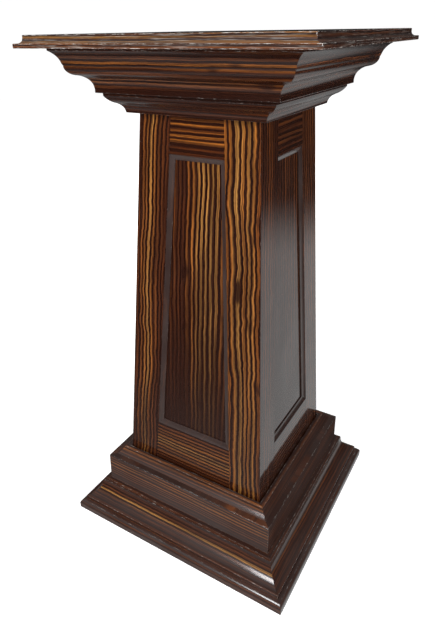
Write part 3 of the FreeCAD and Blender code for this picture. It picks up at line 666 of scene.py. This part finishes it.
FLOOR_DROP = 0.0004                # the floor lies this far under the foot, so the two don't fight
FLOOR_RADIUS = 9.0
WALL_RADIUS = FLOOR_RADIUS - 0.1
WALL_HEIGHT = 8
WALL_MIDDLE = 3.9                  # under half the height, so the wall's foot is below the floor
GLOW_REACH = (0.25, 1.1)           # the floor brightens between these distances from the middle
GLOW = (0.45, 1.0)                 # its glow at those two distances
WHITE = (1, 1, 1)
BLACK = (0, 0, 0)


def stage_piece(name, bm):
    """An object of the setting, which is no part of the pedestal."""
    mesh = bpy.data.meshes.new(name)
    bm.to_mesh(mesh)
    bm.free()
    piece = bpy.data.objects.new(name, mesh)
    bpy.context.scene.collection.objects.link(piece)
    return piece


def make_floor():
    """A pale floor that brightens away from the foot, so only a soft contact shadow shows."""
    bm = bmesh.new()
    bmesh.ops.create_circle(bm, cap_ends=True, segments=128, radius=FLOOR_RADIUS,
                            matrix=Matrix.Translation((0, 0, -FLOOR_DROP)))
    floor = stage_piece("floor", bm)
    floor.visible_glossy = False
    g = Finish("pale_floor")
    x, y = g.dot(X_AXIS), g.dot(Y_AXIS)
    distance = g.math("SQRT", g.math("ADD", g.product(x, x), g.product(y, y)))
    g.shade({"Base Color": g.mix(g.cloud((3, 3, 0)), (0.90, 0.90, 0.91), (0.93, 0.93, 0.93)),
             "Roughness": 0.8,
             "Specular IOR Level": 0.1,
             "Emission Color": WHITE,
             "Emission Strength": g.remap(distance, *GLOW_REACH, *GLOW)})
    floor.data.materials.append(g.material)


def make_backdrop():
    """A white wall round the floor, seen by the camera only."""
    bm = bmesh.new()
    bmesh.ops.create_cone(bm, cap_ends=False, segments=96, radius1=WALL_RADIUS, radius2=WALL_RADIUS,
                          depth=WALL_HEIGHT, matrix=Matrix.Translation((0, 0, WALL_MIDDLE)))
    backdrop = stage_piece("backdrop", bm)
    for flag in ("visible_glossy", "visible_diffuse", "visible_shadow", "visible_transmission"):
        setattr(backdrop, flag, False)
    g = Finish("backdrop")
    g.shade({"Base Color": BLACK, "Emission Color": WHITE, "Emission Strength": 1.0})
    backdrop.data.materials.append(g.material)


SKY = 0.5                          # brightness overhead
GROUND_AHEAD = 0.30                # brightness of the ground mirrored in the front
GROUND_ASIDE = 0.58                # and in the right side
AIR = (0.97, 1.0, 1.0)             # colour of all of it


def make_surroundings():
    """What the polish mirrors: a pale sky over darker surroundings, and pale ground near by."""
    world = bpy.data.worlds.new("world")
    bpy.context.scene.world = world
    world.use_nodes = True
    g = Graph(world.node_tree)
    split = g.node("ShaderNodeSeparateXYZ")
    g.feed(split.inputs[0], g.coordinates.outputs["Generated"])
    x, y, z = split.outputs
    sky = g.product(g.remap(z, 0.05, 0.85, 0.05, SKY), g.remap(y, -0.5, 0.45, 1.0, 0.4))
    ahead = g.product(g.remap(z, -0.72, -0.42, GROUND_AHEAD, 0.0), g.remap(y, -0.4, 0.0, 1.0, 0.0),
                      g.remap(z, -0.90, -0.78, 0.1, 1.0))
    aside = g.product(g.remap(z, -0.34, -0.23, GROUND_ASIDE, 0.0), g.remap(y, -0.1, 0.4, 0.0, 1.0),
                      g.remap(x, 0.05, 0.30, 0.5, 1.0))
    background = world.node_tree.nodes["Background"]
    g.feed(background.inputs["Color"], AIR)
    g.feed(background.inputs["Strength"], g.math("ADD", sky, g.math("ADD", ahead, aside)))


def square_lamp(name, place, aim, size, power, colour):
    """A soft lamp that faces the point it is aimed at."""
    data = bpy.data.lights.new(name, "AREA")
    data.shape = "RECTANGLE"
    data.size, data.size_y = size, size
    data.energy = power
    data.color = colour
    lamp = bpy.data.objects.new(name, data)
    lamp.location = place
    lamp.rotation_mode = "QUATERNION"
    lamp.rotation_quaternion = (Vector(aim) - Vector(place)).to_track_quat("-Z", "Y")
    bpy.context.scene.collection.objects.link(lamp)
    return lamp


def make_lamps():
    """Three soft lamps.  The back one only brightens the far sides, so it casts no shadow and isn't
    mirrored."""
    square_lamp("key", (-0.15, -2.85, 2.4), (0, 0, 0.6), size=1.2, power=92, colour=(0.97, 0.98, 1.0))
    square_lamp("fill", (2.8, -0.6, 1.8), (0, 0, 0.4), size=1.4, power=38, colour=(0.95, 0.98, 1.0))
    back = square_lamp("back", (-2.2, 2.6, 2.0), (0, 0, 0.5), size=1.6, power=80,
                       colour=(1.0, 0.98, 0.96))
    back.visible_glossy = False
    back.data.use_shadow = False


EYE = Vector((0.501, -0.931, 1.004))           # place of the camera, in heights of the pedestal
YAW, PITCH, ROLL = (math.radians(angle) for angle in (32.40, 21.02, -0.98))
SENSOR_WIDTH, LENS = 36, 32.05                 # millimetres
SHIFT = (0.0419, -0.1114)
NEAREST = 0.01                                 # what lies closer than this isn't seen


def make_camera():
    """Camera level with the top, off the front right corner, tilted down."""
    ahead = Vector((-math.sin(YAW) * math.cos(PITCH), math.cos(YAW) * math.cos(PITCH), -math.sin(PITCH)))
    level = Vector((math.cos(YAW), math.sin(YAW), 0))
    upright = level.cross(ahead)
    right = level * math.cos(ROLL) + upright * math.sin(ROLL)
    up = upright * math.cos(ROLL) - level * math.sin(ROLL)
    data = bpy.data.cameras.new("camera")
    data.sensor_width = SENSOR_WIDTH
    data.lens = LENS
    data.shift_x, data.shift_y = SHIFT
    data.clip_start = NEAREST
    camera = bpy.data.objects.new("camera", data)
    bpy.context.scene.collection.objects.link(camera)
    camera.matrix_world = Matrix((right, up, -ahead)).transposed().to_4x4()
    camera.location = EYE * HEIGHT
    bpy.context.scene.camera = camera


make_mouldings()
make_shaft()
make_top()
finish_carcass()
make_floor()
make_backdrop()
make_surroundings()
make_lamps()
make_camera()
bpy.context.scene.view_settings.view_transform = "Standard"
